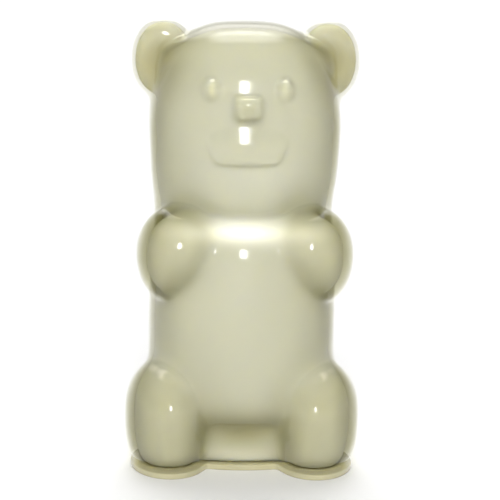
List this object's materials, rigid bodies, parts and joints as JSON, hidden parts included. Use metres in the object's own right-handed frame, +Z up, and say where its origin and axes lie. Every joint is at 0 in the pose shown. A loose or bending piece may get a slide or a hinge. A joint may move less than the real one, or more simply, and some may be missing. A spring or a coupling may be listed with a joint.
{
  "type": "translucent soft-plastic gummy bear figure",
  "caption": "Standing gummy bear figure moulded in pale translucent soft plastic, on a thin flat base plate that follows its feet.",
  "frame": {"origin": "middle of the bear's box, on the surface that it stands on", "axes": "+Z up to the ears, -Y the way the bear looks, X across it from one ear to the other"},
  "size_m": [0.094, 0.077, 0.178],
  "materials": {
    "body_plastic": "glossy, translucent, pale olive cream",
    "plate_plastic": "glossy, translucent, pale olive cream"
  },
  "bodies": {
    "root": {"bear_body": "body_plastic", "base_plate": "plate_plastic"}
  },
  "joints": []
}
